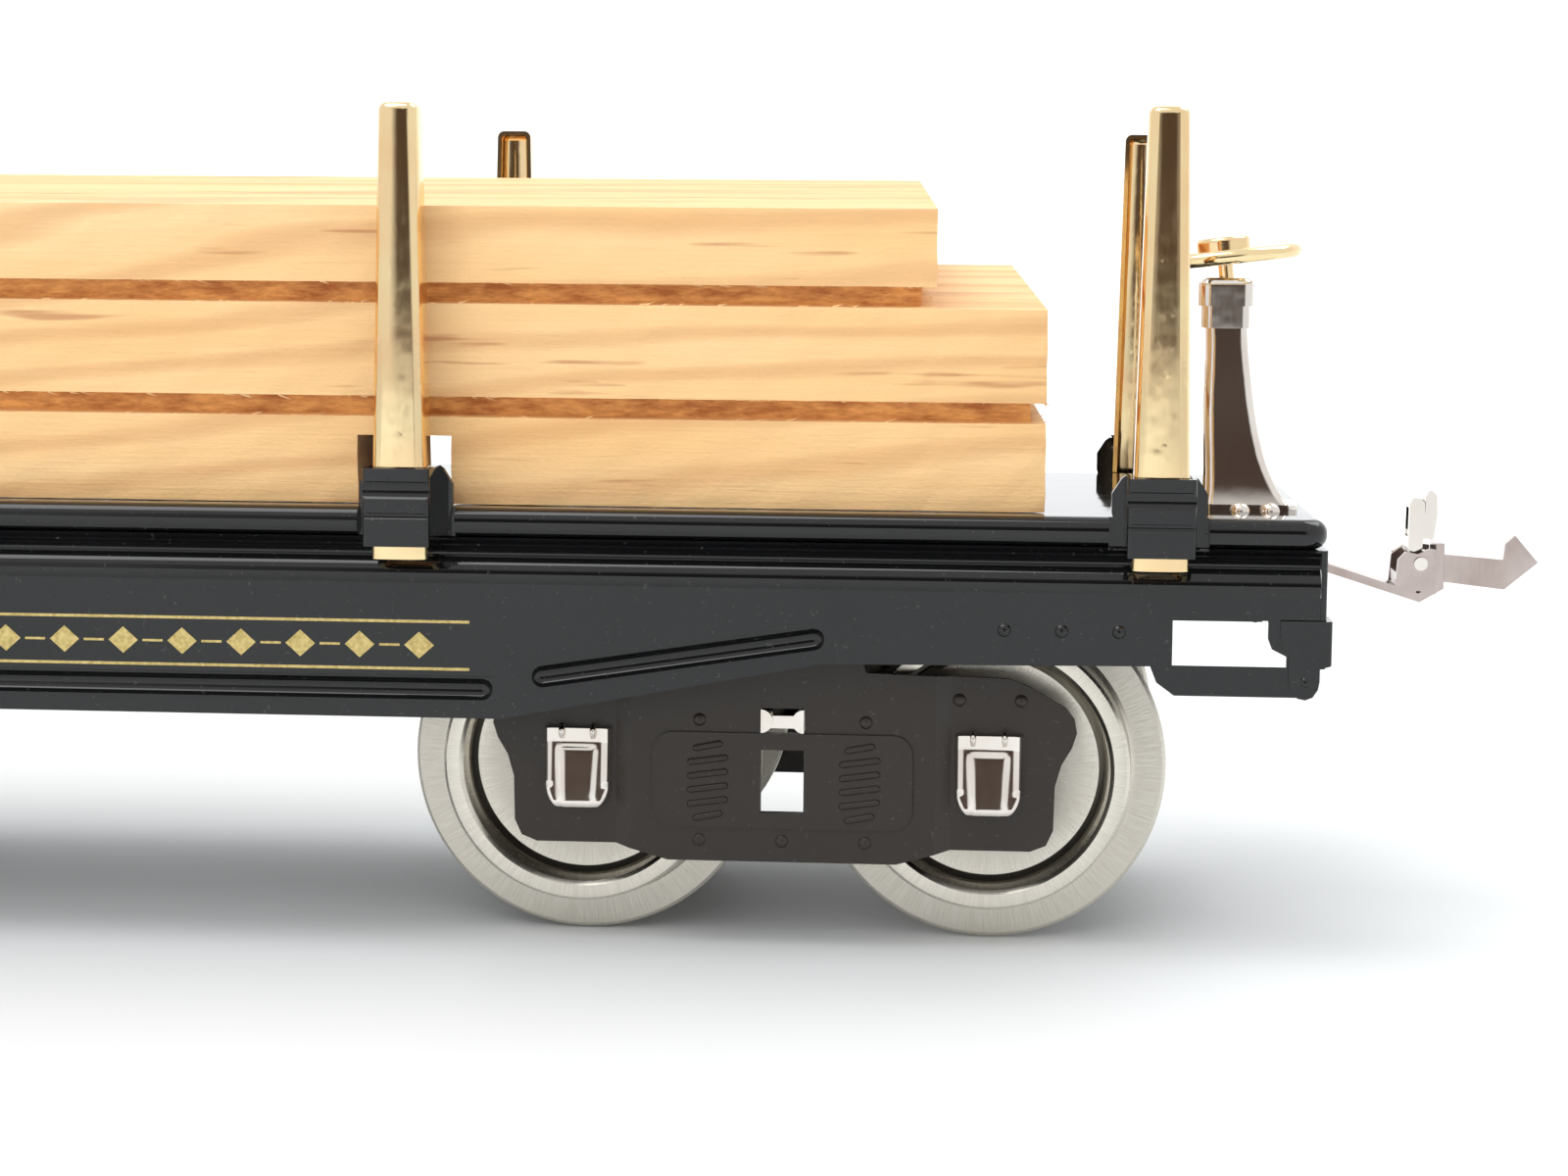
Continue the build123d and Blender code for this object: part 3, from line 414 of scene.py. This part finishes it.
def splinters():
    """Torn fibres along the lips of the kerfs and at the ends of the cuts."""
    low_top, mid_top = LOAD["tops"][:2]
    spots = []
    for level, reach in ((low_top, LOAD["half"]), (mid_top, LOAD["top_half"])):
        for lip in (level, level + LOAD["kerf"]):
            spots += [(random.uniform(-reach, reach), 0.35, lip, 0) for _ in range(70)]
        for _ in range(34):
            y = random.uniform(0, LOAD["width"])
            spots.append((reach - 0.4, y, level + random.choice((0, LOAD["kerf"])), 1))
    mesh = bmesh.new()
    for x, y, z, end in spots:
        length = random.uniform(0.5, 2.2)
        width = random.uniform(0.05, 0.16)
        turn = random.uniform(-0.5, 0.5)
        along = length * math.cos(turn) * (0.4 if end else 1)
        tip = (x + along, y + (0.2 if end else 0.0), z + length * 0.35 * math.sin(turn * 3))
        base = [(x, y - width * 0.5, z - width), (x, y + width, z), (x, y - width * 0.5, z + width)]
        ring = [mesh.verts.new(placed(p)) for p in base]
        point = mesh.verts.new(placed(tip))
        mesh.faces.new(ring)
        for a, b in ((0, 1), (1, 2), (2, 0)):
            mesh.faces.new((ring[b], ring[a], point))
    bmesh.ops.recalc_face_normals(mesh, faces=mesh.faces)
    data = bpy.data.meshes.new("wood_splinters")
    mesh.to_mesh(data)
    mesh.free()
    data.materials.append(PINE)
    piece = link(bpy.data.objects.new("wood_splinters", data))
    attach(piece, "load")
    return piece


# ---------------------------------------------------------------- journal boxes
BOX = dict(face=34.9, low=17.4, high=27.9, fold=26.3, half=4.3, foot=1.9, turn=20.8, rows=30, columns=28)


def box_half(z):
    """Half width of a journal box at a height: straight sides over a rounded foot."""
    if z > BOX["turn"]:
        return BOX["half"]
    part = (BOX["turn"] - z) / (BOX["turn"] - BOX["low"])
    return BOX["foot"] + (BOX["half"] - BOX["foot"]) * math.sqrt(max(0.0, 1 - part * part))


def box_depth(x, z):
    """How far a journal box stands out: flat head band, leaning face and a raised U boss."""
    edge = min(1.0, max(0.0, (box_half(z) - abs(x)) / 0.55))
    foot = min(1.0, (z - BOX["low"]) / 0.9)
    lean = max(0.0, BOX["fold"] - z) * 0.105
    boss_half = 2.65 - 0.05 * (BOX["fold"] - z)
    boss = min(1.0, max(0.0, (boss_half - abs(x)) / 0.45))
    boss *= min(1.0, max(0.0, (BOX["fold"] - 0.5 - z) / 0.5))
    rim = 0.28 * math.exp(-((BOX["half"] - 0.45 - abs(x)) / 0.35) ** 2) if z > BOX["turn"] else 0.0
    rounding = math.sqrt(max(0.0, 1 - (1 - edge) ** 2)) * math.sqrt(max(0.0, 1 - (1 - foot) ** 2))
    return 0.25 + rounding * (1.0 + lean + 0.35 * boss + rim)


def box_shell(mesh, x, side):
    """One closed box shell on a side frame's face."""
    rows, columns = BOX["rows"], BOX["columns"]
    layers = []
    for front in (True, False):
        grid = []
        for i in range(rows + 1):
            z = BOX["low"] + (BOX["high"] - BOX["low"]) * i / rows
            half = box_half(z)
            line = []
            for j in range(columns + 1):
                across = half * math.sin(math.pi / 2 * (2 * j / columns - 1))
                depth = box_depth(across, z) if front else 0.02
                line.append(mesh.verts.new(Vector((x + across, side * (BOX["face"] + depth), z)) * MM))
            grid.append(line)
        layers.append(grid)
    for grid in layers:
        for i in range(rows):
            for j in range(columns):
                mesh.faces.new((grid[i][j], grid[i][j + 1], grid[i + 1][j + 1], grid[i + 1][j]))
    top, bottom = layers
    border = [(0, j) for j in range(columns)] + [(i, columns) for i in range(rows)]
    border += [(rows, j) for j in range(columns, 0, -1)] + [(i, 0) for i in range(rows, 0, -1)]
    for (a, b), (c, d) in zip(border, border[1:] + border[:1]):
        mesh.faces.new((top[a][b], top[c][d], bottom[c][d], bottom[a][b]))


def box_prong(mesh, x, side):
    """A bent prong over the top of a journal box."""
    segments, ring_count, radius = 10, 9, 0.40
    rings = []
    for i in range(ring_count):
        t = i / (ring_count - 1)
        z = 26.6 + 2.0 * t
        out = BOX["face"] + 1.35 + 0.55 * math.sin(math.pi * t)
        size = radius * (0.55 + 0.45 * math.sin(math.pi * (0.15 + 0.8 * t)))
        ring = []
        for k in range(segments):
            angle = 2 * math.pi * k / segments
            point = Vector((x + size * math.cos(angle), side * (out + size * math.sin(angle)), z))
            ring.append(mesh.verts.new(point * MM))
        rings.append(ring)
    for a, b in zip(rings, rings[1:]):
        for k in range(segments):
            mesh.faces.new((a[k], a[(k + 1) % segments], b[(k + 1) % segments], b[k]))
    mesh.faces.new(rings[0])
    mesh.faces.new(rings[-1])


def journal_boxes(end, place):
    """The four bright pressed journal boxes of one truck."""
    mesh = bmesh.new()
    for side in (-1, 1):
        for offset in (-HALF_WHEELBASE, HALF_WHEELBASE):
            x = end * TRUCK_X + offset
            box_shell(mesh, x, side)
            for dx in (-2.0, 2.0):
                box_prong(mesh, x + dx, side)
    bmesh.ops.recalc_face_normals(mesh, faces=mesh.faces)
    for face in mesh.faces:
        face.smooth = True
    data = bpy.data.meshes.new(f"pressed_boxes_{place}")
    mesh.to_mesh(data)
    mesh.free()
    data.set_sharp_from_angle(angle=math.radians(55))
    data.materials.append(NICKEL)
    piece = link(bpy.data.objects.new(f"pressed_boxes_{place}", data))
    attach(piece, f"truck_{place}")
    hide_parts(f"journal_boxes_{place}")


# ---------------------------------------------------------------- gold ornament
def ornament():
    """Generic gold line-and-lozenge band in place of lettering, on both sills."""
    face = 41.50
    lift = 0.035
    shapes = []
    for z in (35.9, 41.9):
        shapes.append([(-52.0, z - 0.18), (52.0, z - 0.18), (52.0, z + 0.18), (-52.0, z + 0.18)])
    count = 13
    for i in range(count):
        x = -45.6 + i * 91.2 / (count - 1)
        shapes.append([(x - 1.9, 38.9), (x, 37.2), (x + 1.9, 38.9), (x, 40.6)])
        if i < count - 1:
            middle = x + 45.6 / (count - 1)
            left, right = middle - 1.3, middle + 1.3
            shapes.append([(left, 38.75), (right, 38.75), (right, 39.05), (left, 39.05)])
    mesh = bmesh.new()
    for side in (-1, 1):
        for shape in shapes:
            lower = [mesh.verts.new(Vector((x, side * (face - 0.05), z)) * MM) for x, z in shape]
            upper = [mesh.verts.new(Vector((x, side * (face + lift), z)) * MM) for x, z in shape]
            mesh.faces.new(lower)
            mesh.faces.new(upper)
            for a in range(4):
                b = (a + 1) % 4
                mesh.faces.new((lower[a], lower[b], upper[b], upper[a]))
    bmesh.ops.recalc_face_normals(mesh, faces=mesh.faces)
    data = bpy.data.meshes.new("gold_band")
    mesh.to_mesh(data)
    mesh.free()
    data.materials.append(GOLD)
    piece = link(bpy.data.objects.new("gold_band", data))
    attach(piece, "car_body")
    return piece


# ---------------------------------------------------------------- studio
def studio_floor():
    """Pale paper that sweeps up into a backdrop far behind the car."""
    depth_front, depth_back, radius, height, half_width = -3.0, 2.2, 1.0, 2.6, 4.0
    profile = [(depth_front, 0.0), (depth_back - radius, 0.0)]
    steps = 16
    for i in range(1, steps + 1):
        angle = math.pi / 2 * i / steps
        back = depth_back - radius + radius * math.sin(angle)
        profile.append((back, radius - radius * math.cos(angle)))
    profile.append((depth_back, height))
    mesh = bmesh.new()
    rows = [[mesh.verts.new((x, y, z - 0.0002)) for y, z in profile] for x in (-half_width, half_width)]
    for i in range(len(profile) - 1):
        face = mesh.faces.new((rows[0][i], rows[1][i], rows[1][i + 1], rows[0][i + 1]))
        face.smooth = True
    data = bpy.data.meshes.new("studio_paper")
    mesh.to_mesh(data)
    mesh.free()
    data.materials.append(paper("studio_paper", (0.76, 0.78, 0.79)))
    floor = link(bpy.data.objects.new("studio_paper", data))


def area_light(name, place, aim, size, power, colour=(1, 1, 1)):
    """A soft square light that looks at a point."""
    data = bpy.data.lights.new(name, "AREA")
    data.size = size
    data.energy = power
    data.color = colour
    lamp = link(bpy.data.objects.new(name, data))
    direction = Vector(aim) - Vector(place)
    turn = direction.to_track_quat("-Z", "Y").to_matrix().to_4x4()
    lamp.matrix_world = Matrix.Translation(place) @ turn
    return lamp


def studio_light():
    """White room with a dark patch behind the camera, two soft lights above and one in front."""
    world = bpy.data.worlds.new("studio")
    bpy.context.scene.world = world
    world.use_nodes = True
    tree = world.node_tree
    direction = add(tree, "ShaderNodeTexCoord").outputs["Generated"]
    parts = add(tree, "ShaderNodeSeparateXYZ", {0: direction})
    x, y, z = parts.outputs
    ahead = maths(tree, "ABSOLUTE", maths(tree, "SUBTRACT", x, 0.05))
    side = rise(tree, ahead, 0.22, 0.42)
    back = rise(tree, y, -0.70, -0.35)
    high = rise(tree, z, 0.30, 0.50)
    bright = maths(tree, "MAXIMUM", maths(tree, "MAXIMUM", side, high), back)
    tone = mix(tree, bright, (0.085, 0.060, 0.048), (0.98, 0.98, 0.98))
    background = tree.nodes["Background"]
    tree.links.new(tone, background.inputs["Color"])
    background.inputs["Strength"].default_value = 1.0
    area_light("key", (-0.4, -0.3, 1.4), (0.05, 0.0, 0.03), 0.9, 8.0)
    area_light("fill", (0.8, 0.5, 1.2), (0.05, 0.0, 0.03), 0.8, 6.0)
    front = area_light("front", (-0.2, -1.2, 0.55), (0.05, 0.0, 0.04), 1.2, 6.0)
    front.visible_glossy = False


# ---------------------------------------------------------------- camera
CAMERA_PLACE = (0.1209, -0.4318, 0.0880)
CAMERA_YAW = 4.286
CAMERA_PITCH = 5.995
CAMERA_ROLL = 0.512
CAMERA_LENS = 72.47


def camera():
    """Camera beside the car's right half, slightly turned, looking a little down."""
    yaw, pitch, roll = (math.radians(a) for a in (CAMERA_YAW, CAMERA_PITCH, CAMERA_ROLL))
    level_forward = Vector((-math.sin(yaw), math.cos(yaw), 0))
    forward = level_forward * math.cos(pitch) - Vector((0, 0, math.sin(pitch)))
    level = Vector((math.cos(yaw), math.sin(yaw), 0))
    right = level * math.cos(roll) + level.cross(forward) * math.sin(roll)
    up = right.cross(forward)
    data = bpy.data.cameras.new("camera")
    data.lens = CAMERA_LENS
    data.sensor_width = 36.0
    data.clip_start = 0.01
    cam = link(bpy.data.objects.new("camera", data))
    turn = Matrix((right, up, -forward)).transposed().to_4x4()
    cam.matrix_world = Matrix.Translation(CAMERA_PLACE) @ turn
    bpy.context.scene.camera = cam


finish_nodes()
lumber()
splinters()
journal_boxes(1, "front")
journal_boxes(-1, "rear")
ornament()
studio_floor()
studio_light()
camera()
bpy.context.scene.view_settings.view_transform = "Standard"
